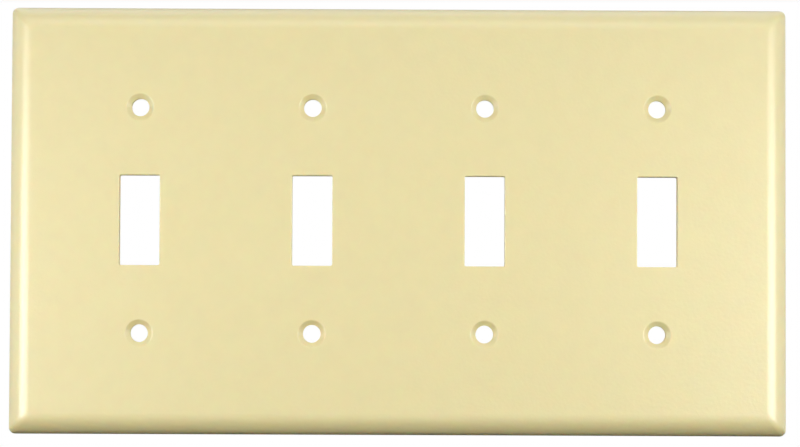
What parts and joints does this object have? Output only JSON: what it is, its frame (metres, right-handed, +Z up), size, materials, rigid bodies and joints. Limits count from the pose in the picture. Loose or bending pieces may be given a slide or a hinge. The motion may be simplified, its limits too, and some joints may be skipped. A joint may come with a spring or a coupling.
{
  "type": "toggle wall plate",
  "caption": "Ivory moulded wall plate with rolled edges that covers a row of toggle switches, with a slot and two countersunk screw holes for each.",
  "frame": {"origin": "centre of the plate on the plane of the wall, which is the plane of its back rim", "axes": "+X across the gangs, to the right seen from the front; +Z up the wall; +Y into the wall, so the face looks along -Y"},
  "size_m": [0.208, 0.0056, 0.1142],
  "materials": {
    "ivory_plastic": "moulded, satin, very fine even texture"
  },
  "bodies": {
    "root": {"wall_plate": "ivory_plastic"}
  },
  "joints": []
}
